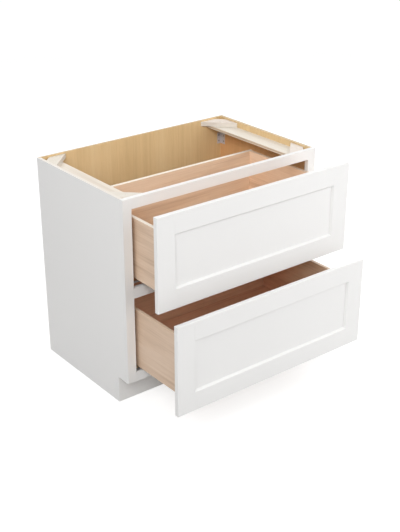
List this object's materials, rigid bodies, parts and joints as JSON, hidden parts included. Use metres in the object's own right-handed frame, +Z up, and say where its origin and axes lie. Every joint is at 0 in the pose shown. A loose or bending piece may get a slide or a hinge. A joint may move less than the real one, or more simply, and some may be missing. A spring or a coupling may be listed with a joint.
{
  "type": "base cabinet with drawers",
  "caption": "Kitchen base cabinet with a white face frame and deep shaker-front drawers on under-mounted slides; open top, toe kick, natural wood inside.",
  "frame": {"origin": "on the floor, in the middle of the width, in the plane of the cabinet's rear edges", "axes": "+X to the right as seen from the front, +Y back towards the wall, +Z up; the drawers open towards -Y"},
  "size_m": [0.9524, 0.9134, 0.8763],
  "materials": {
    "white_paint": "smooth satin white paint on solid wood",
    "plywood_panel": "plywood, satin white outside and clear-coated birch inside",
    "birch_plywood": "clear-coated birch plywood, upright grain on the back",
    "drawer_wood": "clear satin coat on pinkish maple, grain along each board",
    "pale_wood": "bare pale plywood and softwood, fine saw marks",
    "zinc_steel": "zinc-plated sheet steel, dull",
    "grey_plastic": "fine-textured grey moulded plastic"
  },
  "bodies": {
    "cabinet": {"side_panel_left": "plywood_panel", "side_panel_right": "plywood_panel", "back_panel": "birch_plywood", "bottom_deck": "birch_plywood", "toe_kick_board": "white_paint", "frame_stile_left": "white_paint", "frame_stile_right": "white_paint", "frame_rail_bottom": "white_paint", "frame_rail_middle": "white_paint", "frame_rail_top": "white_paint", "corner_block_rear_left": "pale_wood", "corner_block_rear_right": "pale_wood", "corner_block_front_left": "pale_wood", "corner_block_front_right": "pale_wood", "side_brace_left": "pale_wood", "corner_angle_left": "zinc_steel", "side_brace_right": "pale_wood", "corner_angle_right": "zinc_steel", "bottom_slide_cabinet_member_left": "zinc_steel", "bottom_slide_rear_bracket_left": "grey_plastic", "bottom_slide_cabinet_member_right": "zinc_steel", "bottom_slide_rear_bracket_right": "grey_plastic", "top_slide_cabinet_member_left": "zinc_steel", "top_slide_rear_bracket_left": "grey_plastic", "top_slide_cabinet_member_right": "zinc_steel", "top_slide_rear_bracket_right": "grey_plastic"},
    "bottom_drawer": {"bottom_drawer_box_front": "drawer_wood", "bottom_drawer_box_back": "drawer_wood", "bottom_drawer_box_bottom": "drawer_wood", "bottom_drawer_box_side_left": "drawer_wood", "bottom_drawer_box_side_right": "drawer_wood", "bottom_front_panel": "white_paint", "bottom_front_rail_top": "white_paint", "bottom_front_rail_bottom": "white_paint", "bottom_front_stile_left": "white_paint", "bottom_front_stile_right": "white_paint", "bottom_slide_drawer_member_left": "zinc_steel", "bottom_slide_latch_left": "grey_plastic", "bottom_slide_drawer_member_right": "zinc_steel", "bottom_slide_latch_right": "grey_plastic"},
    "bottom_slide_middles": {"bottom_slide_middle_member_left": "zinc_steel", "bottom_slide_middle_member_right": "zinc_steel"},
    "top_drawer": {"top_drawer_box_front": "drawer_wood", "top_drawer_box_back": "drawer_wood", "top_drawer_box_bottom": "drawer_wood", "top_drawer_box_side_left": "drawer_wood", "top_drawer_box_side_right": "drawer_wood", "top_front_panel": "white_paint", "top_front_rail_top": "white_paint", "top_front_rail_bottom": "white_paint", "top_front_stile_left": "white_paint", "top_front_stile_right": "white_paint", "top_slide_drawer_member_left": "zinc_steel", "top_slide_latch_left": "grey_plastic", "top_slide_drawer_member_right": "zinc_steel", "top_slide_latch_right": "grey_plastic"},
    "top_slide_middles": {"top_slide_middle_member_left": "zinc_steel", "top_slide_middle_member_right": "zinc_steel"}
  },
  "joints": [
    {"name": "bottom_drawer_slide", "type": "slide", "parent": "cabinet", "child": "bottom_drawer", "axis": [0, -1, 0], "range_m": [-0.2895, 0.2185]},
    {"name": "bottom_slide_stage", "type": "slide", "parent": "cabinet", "child": "bottom_slide_middles", "axis": [0, -1, 0], "range_m": [-0.14475, 0.10925]},
    {"name": "top_drawer_slide", "type": "slide", "parent": "cabinet", "child": "top_drawer", "axis": [0, -1, 0], "range_m": [-0.1775, 0.3305]},
    {"name": "top_slide_stage", "type": "slide", "parent": "cabinet", "child": "top_slide_middles", "axis": [0, -1, 0], "range_m": [-0.08875, 0.16525]}
  ],
  "couplings": [
    {"joint": "bottom_slide_stage", "follows": "bottom_drawer_slide", "ratio": 0.5},
    {"joint": "top_slide_stage", "follows": "top_drawer_slide", "ratio": 0.5}
  ]
}
